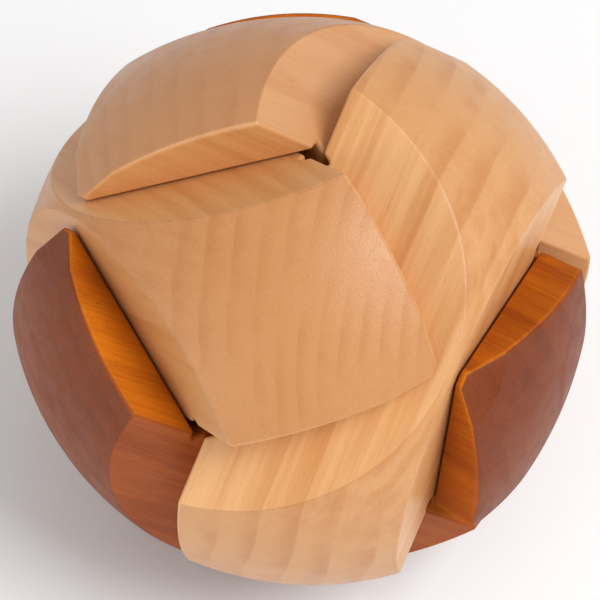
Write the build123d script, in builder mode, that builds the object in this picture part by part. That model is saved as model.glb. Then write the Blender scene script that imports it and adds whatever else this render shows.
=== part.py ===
from build123d import *
from math import cos, radians, sin, sqrt
import os

# A six-piece burr puzzle turned to a ball. Six alike bars lock together: each bar
# lies over one of the six poles of the ball, its corner towards the centre, and
# runs along the next of the three puzzle axes. The three upper bars are light
# wood and the three lower bars are dark wood.
#
# Frame: origin at the ball's centre, +Z up. The ball stands on one corner of each
# dark bar, so the three upper poles lean out evenly around +Z.

# ---- driving dimensions, mm ----
stock_side = 23.0            # side of the square bar that a piece is cut from
bar_length = 66.0            # over the two flat ends
waist_depth = 0.33           # how far the turned outside dips below the bar's outer corner
turning_drop = 1.7           # from the ball's centre back to the turning axis
crown_radius = 44.6          # across the turned outside
inner_flat_depth = 0.85      # how much of the bar's inner corner is planed off
edge_round = 0.45            # radius that every edge is sanded to

# ---- clearances, mm ----
fit_gap = 0.3                # between a notch's face and the bar lying in it
rest_play = 1.1              # how far out each piece stands from the closed ball

# ---- worked out from the above ----
half_diagonal = stock_side / sqrt(2)
half_length = bar_length / 2
notch_floor = half_diagonal + fit_gap * sqrt(2)          # the gap is square to the notch's faces
crown_height = 2 * half_diagonal - waist_depth
crown_half_width = 1.2 * half_diagonal                   # clear of the bar's ridges
crown_middle = crown_height - crown_radius
crown_side = crown_middle + sqrt(crown_radius**2 - crown_half_width**2)
reach = crown_height + bar_length                        # beyond every surface of a piece

# ---- the six places: number of the puzzle axis, and which way along it ----
pole_tilt = 1 / sqrt(3)                  # height of a unit pole vector
pole_spread = sqrt(2 / 3)                # its distance from the Z axis
axis_azimuths = (180, 300, 60)           # degrees: left, front and back puzzle axes
places = {
    "light_bar_left": (0, 1),
    "light_bar_front": (1, 1),
    "light_bar_back": (2, 1),
    "dark_bar_right": (0, -1),
    "dark_bar_back": (1, -1),
    "dark_bar_front": (2, -1),
}


def puzzle_axis(number):
    """One of the three square puzzle axes, as a unit vector."""
    azimuth = radians(axis_azimuths[number % 3])
    return Vector(pole_spread * cos(azimuth), pole_spread * sin(azimuth), pole_tilt)


def make_bar(number, side):
    """The bar over one end of a puzzle axis, built in place.

    On its plane x runs across the bar, y out through the pole and z along it.
    """
    pole = puzzle_axis(number) * side
    along = puzzle_axis(number + 1)
    across = pole.cross(along)
    section = Plane(origin=pole * rest_play, x_dir=across, z_dir=along)
    profile = Plane(origin=section.origin, x_dir=along, z_dir=-across)

    with BuildPart() as bar:
        # the square stock, corner down, less its planed inner edge
        with BuildSketch(section):
            Polygon(
                (-inner_flat_depth, inner_flat_depth),
                (inner_flat_depth, inner_flat_depth),
                (half_diagonal, half_diagonal),
                (0, 2 * half_diagonal),
                (-half_diagonal, half_diagonal),
                align=None,
            )
        extrude(amount=half_length, both=True)

        # two square notches, each the seat of a crossing bar
        with BuildSketch(profile):
            for end in (-1, 1):
                middle = end * half_diagonal
                Polygon(
                    (middle, notch_floor),
                    (middle - reach, notch_floor - reach),
                    (middle + reach, notch_floor - reach),
                    align=None,
                )
        extrude(amount=reach, both=True, mode=Mode.SUBTRACT)

        # the crowned outside, turned about an axis that runs across the bar
        with BuildSketch(section):
            with BuildLine():
                Polyline(
                    (-crown_half_width, crown_side),
                    (-crown_half_width, -turning_drop),
                    (crown_half_width, -turning_drop),
                    (crown_half_width, crown_side),
                )
                ThreePointArc(
                    (-crown_half_width, crown_side),
                    (0, crown_height),
                    (crown_half_width, crown_side),
                )
            make_face()
        turning_axis = Axis(section.from_local_coords((0, -turning_drop, 0)), across)
        revolve(axis=turning_axis, mode=Mode.INTERSECT)

        # every edge is sanded round
        fillet(bar.edges(), edge_round)
    return bar


os.makedirs("parts", exist_ok=True)
for name, (number, side) in places.items():
    bar = make_bar(number, side)
    bar.part.label = name
    export_step(bar.part, f"parts/{name}.step")
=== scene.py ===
from math import cos, radians, sin, sqrt

import bpy
from mathutils import Euler, Matrix, Vector


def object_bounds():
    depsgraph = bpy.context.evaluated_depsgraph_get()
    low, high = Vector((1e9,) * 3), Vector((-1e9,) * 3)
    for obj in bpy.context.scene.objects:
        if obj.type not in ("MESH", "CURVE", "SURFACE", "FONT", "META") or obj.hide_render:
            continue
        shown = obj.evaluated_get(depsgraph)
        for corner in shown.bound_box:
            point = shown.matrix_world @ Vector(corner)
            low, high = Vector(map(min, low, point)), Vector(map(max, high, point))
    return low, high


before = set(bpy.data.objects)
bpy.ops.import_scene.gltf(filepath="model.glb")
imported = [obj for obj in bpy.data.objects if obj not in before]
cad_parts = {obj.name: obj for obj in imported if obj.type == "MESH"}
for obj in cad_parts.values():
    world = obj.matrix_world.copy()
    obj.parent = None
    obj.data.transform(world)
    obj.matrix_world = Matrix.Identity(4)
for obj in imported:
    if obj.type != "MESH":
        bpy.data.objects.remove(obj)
cad_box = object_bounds()

# ---------------------------------------------------------------- the bars
# Each bar lies over one pole of the ball and runs along the next puzzle axis.
AXIS_AZIMUTHS = (180, 300, 60)
BARS = {
    "light_bar_left": (0, 1),
    "light_bar_front": (1, 1),
    "light_bar_back": (2, 1),
    "dark_bar_right": (0, -1),
    "dark_bar_back": (1, -1),
    "dark_bar_front": (2, -1),
}


def puzzle_axis(number):
    azimuth = radians(AXIS_AZIMUTHS[number % 3])
    spread = sqrt(2 / 3)
    return Vector((spread * cos(azimuth), spread * sin(azimuth), 1 / sqrt(3)))


def bar_rotation(name):
    """Turns the row frame into the bar's own: x across, y out through the pole, z along."""
    number, side = BARS[name]
    pole = puzzle_axis(number) * side
    along = puzzle_axis(number + 1)
    return Matrix((pole.cross(along), pole, along)).to_euler()


# ---------------------------------------------------------------- wood
class Nodes:
    """Short calls for building one material's nodes."""

    def __init__(self, name):
        self.material = bpy.data.materials.new(name)
        self.material.use_nodes = True
        self.tree = self.material.node_tree
        self.shader = self.tree.nodes["Principled BSDF"]

    def add(self, kind, **settings):
        node = self.tree.nodes.new(kind)
        for key, value in settings.items():
            setattr(node, key, value)
        return node

    def feed(self, socket, value):
        if isinstance(value, bpy.types.NodeSocket):
            self.tree.links.new(value, socket)
        else:
            socket.default_value = value

    def math(self, operation, first, second=0.0, third=0.0):
        node = self.add("ShaderNodeMath", operation=operation)
        for socket, value in zip(node.inputs, (first, second, third)):
            self.feed(socket, value)
        return node.outputs[0]

    def vector(self, operation, first, second=(0, 0, 0)):
        node = self.add("ShaderNodeVectorMath", operation=operation)
        self.feed(node.inputs[0], first)
        self.feed(node.inputs[1], second)
        return node.outputs["Value" if operation in ("LENGTH", "DOT_PRODUCT") else "Vector"]

    def mapped(self, vector, rotation=(0, 0, 0), scale=(1, 1, 1), location=(0, 0, 0)):
        node = self.add("ShaderNodeMapping", vector_type="POINT")
        self.feed(node.inputs["Vector"], vector)
        node.inputs["Rotation"].default_value = rotation
        node.inputs["Scale"].default_value = scale
        node.inputs["Location"].default_value = location
        return node.outputs[0]

    def noise(self, vector, scale, detail=3.0, roughness=0.5, output="Fac"):
        node = self.add("ShaderNodeTexNoise")
        self.feed(node.inputs["Vector"], vector)
        node.inputs["Scale"].default_value = scale
        node.inputs["Detail"].default_value = detail
        node.inputs["Roughness"].default_value = roughness
        return node.outputs[output]

    def step(self, value, low, high, out_low=0.0, out_high=1.0):
        """A smooth change from out_low to out_high as value goes from low to high."""
        node = self.add("ShaderNodeMapRange", interpolation_type="SMOOTHSTEP")
        self.feed(node.inputs["Value"], value)
        limits = {"From Min": low, "From Max": high, "To Min": out_low, "To Max": out_high}
        for key, number in limits.items():
            node.inputs[key].default_value = number
        return node.outputs[0]

    def mix(self, factor, first, second, blend="MIX"):
        node = self.add("ShaderNodeMix", data_type="RGBA", blend_type=blend)
        self.feed(node.inputs[0], factor)
        for socket, value in ((node.inputs[6], first), (node.inputs[7], second)):
            self.feed(socket, (*value, 1.0) if isinstance(value, tuple) else value)
        return node.outputs[2]


MM = 1000.0          # object coordinates are in metres, and the figure is set out in mm
SEED_STEP = 100      # mm along the trunk from one bar's stock to the next


def wood(name, look, pith, ring, seed, tone, figure=1.0):
    """Satin wood from a trunk whose centre line is at pith, in the bar's own x and y, in mm.

    ring is the spacing of its growth rings in mm, and tone is how this bar's stock
    differs from the others of its wood.
    """
    n = Nodes(name + "_wood")
    coordinates = n.add("ShaderNodeTexCoord")
    turn = bar_rotation(name)
    place = n.mapped(
        coordinates.outputs["Object"],
        rotation=turn,
        scale=(MM, MM, MM),
        location=(0, 0, seed * SEED_STEP),
    )
    normal = n.mapped(coordinates.outputs["Normal"], rotation=turn)
    facing = n.add("ShaderNodeSeparateXYZ")
    n.feed(facing.inputs[0], normal)

    # growth rings: the distance from the pith, bent by a slow noise drawn out along the bar
    slow = n.mapped(place, scale=(0.045, 0.045, 0.012))
    bend = n.vector("SUBTRACT", n.noise(slow, 1.0, 3.0, output="Color"), (0.5, 0.5, 0.5))
    bent = n.vector("ADD", place, n.vector("MULTIPLY", bend, (3.5, 3.5, 0.0)))
    lean = n.mapped(bent, rotation=(radians(3.5), radians(-2.5), 0), location=(-pith[0], -pith[1], 0))
    radius = n.vector("LENGTH", n.vector("MULTIPLY", lean, (1, 1, 0)))
    phase = n.math("FRACT", n.math("DIVIDE", radius, ring))
    early = n.step(phase, 0.25, 0.88)
    late = n.step(phase, 0.92, 1.0, 1.0, 0.0)
    rings = n.math("MULTIPLY", early, late)
    uneven = n.step(n.noise(n.mapped(lean, scale=(0.11, 0.11, 0.015)), 1.0, 2.0), 0.35, 0.65, 0.05, 1.0)
    rings = n.math("MULTIPLY", rings, uneven)

    # fibres, drawn out along the bar, short darker flecks, and slow changes of tone
    fibre = n.noise(n.mapped(place, scale=(3.2, 3.2, 0.14)), 1.0, 5.0, 0.65)
    streak = n.noise(n.mapped(place, scale=(0.55, 0.55, 0.02)), 1.0, 4.0, 0.6)
    fleck = n.step(n.noise(n.mapped(place, scale=(4.2, 4.2, 0.9)), 1.0, 2.0, 0.4), 0.66, 0.76)
    cloud = n.noise(n.mapped(place, scale=(0.06, 0.06, 0.04)), 1.0, 3.0, 0.55)

    # the figure drawn out along the bar fades where the face cuts across it
    lengthwise = n.step(n.math("ABSOLUTE", facing.outputs["Z"]), 0.35, 0.8, 1.0, 0.2)
    streaks = n.math("MULTIPLY", n.step(streak, 0.38, 0.68, 0.0, look["streak_depth"] * figure), lengthwise)

    # the three kinds of face: turned outside, sawn flats beside it, and the inside
    inside = n.step(facing.outputs["Y"], -0.25, -0.45)
    sawn = n.step(n.math("ABSOLUTE", facing.outputs["X"]), 0.48, 0.6)
    colour = n.mix(sawn, look["turned"], look["sawn"])
    colour = n.mix(inside, colour, look["inside"])
    colour = n.mix(1.0, colour, tone, "MULTIPLY")
    colour = n.mix(n.math("MULTIPLY", rings, look["ring_depth"] * figure), colour, look["late"], "MULTIPLY")
    colour = n.mix(streaks, colour, look["streak"], "MULTIPLY")
    colour = n.mix(n.step(fibre, 0.35, 0.75, 0.0, look["fibre_depth"]), colour, look["fibre"], "MULTIPLY")
    colour = n.mix(n.math("MULTIPLY", fleck, look["fleck_depth"]), colour, look["fleck"], "MULTIPLY")
    colour = n.mix(n.step(cloud, 0.3, 0.7, 0.0, look["cloud_depth"]), colour, look["cloud"], "MULTIPLY")

    # the edges are made paler, in patches: partly wear from hands and sanding, partly a painted highlight
    # where the rounded edges catch the light
    soft = n.add("ShaderNodeBevel", samples=8)
    soft.inputs["Radius"].default_value = look["wear_and_highlight_width"]
    geometry = n.add("ShaderNodeNewGeometry")
    turned_away = n.vector("DOT_PRODUCT", soft.outputs[0], geometry.outputs["Normal"])
    wear_and_highlight = n.step(turned_away, 0.99, 0.86)
    patchy = n.step(n.noise(n.mapped(place, scale=(0.35, 0.35, 0.35)), 1.0, 3.0), 0.3, 0.6, 0.35, 1.0)
    wear_and_highlight = n.math("MULTIPLY", n.math("MULTIPLY", wear_and_highlight, patchy), look["wear_and_highlight_depth"])
    # paint the paler edges: wear and a painted highlight
    colour = n.mix(wear_and_highlight, colour, look["worn_and_highlit"])
    n.feed(n.shader.inputs["Base Color"], colour)

    gloss = n.step(n.noise(n.mapped(place, scale=(0.5, 0.5, 0.12)), 1.0, 4.0), 0.3, 0.7, -0.05, 0.06)
    rough = n.math("ADD", n.math("MULTIPLY_ADD", inside, 0.28, look["roughness"]), gloss)
    n.feed(n.shader.inputs["Roughness"], rough)
    n.shader.inputs["Specular IOR Level"].default_value = look["specular"]
    n.shader.inputs["Coat Weight"].default_value = look["coat"]
    n.shader.inputs["Coat Roughness"].default_value = 0.38

    bump = n.add("ShaderNodeBump")
    bump.inputs["Strength"].default_value = 0.35
    bump.inputs["Distance"].default_value = 0.00012
    n.feed(bump.inputs["Height"], n.math("MULTIPLY_ADD", fleck, -0.8, fibre))
    n.feed(n.shader.inputs["Normal"], bump.outputs[0])
    return n.material


LIGHT = {
    "turned": (0.66, 0.325, 0.130),
    "sawn": (0.78, 0.43, 0.19),
    "inside": (0.82, 0.42, 0.145),
    "late": (0.84, 0.70, 0.54),
    "ring_depth": 0.6,
    "streak": (0.88, 0.78, 0.64),
    "streak_depth": 0.7,
    "fibre": (0.92, 0.86, 0.78),
    "fibre_depth": 0.5,
    "fleck": (0.80, 0.66, 0.52),
    "fleck_depth": 0.35,
    "cloud": (0.92, 0.87, 0.82),
    "cloud_depth": 0.45,
    # paler edge colour, width and strength: wear and a painted highlight along the edges
    "worn_and_highlit": (0.92, 0.62, 0.36),
    "wear_and_highlight_width": 0.0007,
    "wear_and_highlight_depth": 0.65,
    "roughness": 0.36,
    "specular": 0.42,
    "coat": 0.10,
}
DARK = {
    "turned": (0.29, 0.070, 0.018),
    "sawn": (0.46, 0.105, 0.010),
    "inside": (0.72, 0.200, 0.004),
    "late": (0.66, 0.54, 0.46),
    "ring_depth": 0.5,
    "streak": (0.72, 0.60, 0.50),
    "streak_depth": 0.8,
    "fibre": (0.74, 0.64, 0.56),
    "fibre_depth": 0.7,
    "fleck": (0.60, 0.45, 0.38),
    "fleck_depth": 0.6,
    "cloud": (0.74, 0.62, 0.54),
    "cloud_depth": 0.8,
    # paler edge colour, width and strength: wear and a painted highlight along the edges
    "worn_and_highlit": (0.56, 0.22, 0.075),
    "wear_and_highlight_width": 0.0008,
    "wear_and_highlight_depth": 0.7,
    "roughness": 0.46,
    "specular": 0.16,
    "coat": 0.03,
}

CUTS = {
    "light_bar_left": dict(
        look=LIGHT, pith=(6.0, -30.0), ring=2.1, seed=1, tone=(0.88, 0.82, 0.75), figure=0.8,
    ),
    "light_bar_front": dict(
        look=LIGHT, pith=(52.0, -38.0), ring=4.2, seed=2, tone=(1.0, 1.02, 1.02), figure=1.3,
    ),
    "light_bar_back": dict(
        look=LIGHT, pith=(-40.0, -46.0), ring=3.1, seed=3, tone=(0.85, 0.81, 0.84), figure=0.6,
    ),
    "dark_bar_right": dict(
        look=DARK, pith=(18.0, -34.0), ring=3.8, seed=4, tone=(0.84, 0.82, 0.85), figure=0.9,
    ),
    "dark_bar_back": dict(
        look=DARK, pith=(-22.0, 60.0), ring=5.2, seed=5, tone=(0.95, 0.95, 0.95), figure=0.8,
    ),
    "dark_bar_front": dict(
        look=DARK, pith=(36.0, 52.0), ring=4.4, seed=6, tone=(0.93, 0.95, 0.95), figure=0.8,
    ),
}
for name, cut in CUTS.items():
    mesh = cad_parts[name].data
    mesh.materials.clear()
    mesh.materials.append(wood(name, **cut))

# ---------------------------------------------------------------- floor and light
low, high = (Vector(corner) for corner in cad_box)
middle = (low + high) / 2
SIZE = high.x - low.x
FLOOR_REACH = 40 * SIZE      # far past what the camera sees

floor_mesh = bpy.data.meshes.new("floor")
floor_corners = ((-1, -1), (1, -1), (1, 1), (-1, 1))
floor_mesh.from_pydata(
    [(x * FLOOR_REACH, y * FLOOR_REACH, low.z) for x, y in floor_corners],
    [],
    [(0, 1, 2, 3)],
)
floor = bpy.data.objects.new("floor", floor_mesh)
bpy.context.scene.collection.objects.link(floor)
paper = Nodes("pale_paper")
paper.shader.inputs["Base Color"].default_value = (0.93, 0.93, 0.93, 1)
paper.shader.inputs["Roughness"].default_value = 0.9
floor_mesh.materials.append(paper.material)

world = bpy.data.worlds.new("studio")
bpy.context.scene.world = world
world.use_nodes = True
world.node_tree.nodes["Background"].inputs["Color"].default_value = (1, 1, 1, 1)
world.node_tree.nodes["Background"].inputs["Strength"].default_value = 0.56

AZIMUTH, ELEVATION, ROLL = -8.6, 56.7, 5.4      # of the camera, in degrees
DISTANCE = 0.357             # from the point that it aims at, in metres
LENS = 180.5                 # in mm, on a sensor of this width
SENSOR_WIDTH = 36
AIM_RIGHT, AIM_UP = -0.00025, -0.0003           # from the middle of the ball, in metres
level = Euler((radians(90 - ELEVATION), 0, radians(AZIMUTH))).to_matrix()
turn = level @ Matrix.Rotation(radians(ROLL), 3, "Z")
right, up, back = turn.col


def softbox(name, side, height, depth, distance, size, power):
    """A square lamp placed by its direction in the camera's own right, up and back.

    distance and size are in metres, and power is in watts.
    """
    data = bpy.data.lights.new(name, "AREA")
    data.shape = "SQUARE"
    data.size = size
    data.energy = power
    lamp = bpy.data.objects.new(name, data)
    direction = (right * side + up * height + back * depth).normalized()
    lamp.location = middle + direction * distance
    lamp.rotation_euler = direction.to_track_quat("Z", "Y").to_euler()
    bpy.context.scene.collection.objects.link(lamp)


softbox("key", 0.52, 0.22, 0.80, 0.55, 0.30, 2.2)
softbox("fill", -0.8, -0.45, 0.45, 0.6, 0.5, 1.3)

camera_data = bpy.data.cameras.new("camera")
camera_data.lens = LENS
camera_data.sensor_width = SENSOR_WIDTH
camera = bpy.data.objects.new("camera", camera_data)
aim = middle + right * AIM_RIGHT + up * AIM_UP
camera.matrix_world = Matrix.Translation(aim + back * DISTANCE) @ turn.to_4x4()
bpy.context.scene.collection.objects.link(camera)
bpy.context.scene.camera = camera
bpy.context.scene.view_settings.view_transform = "Standard"
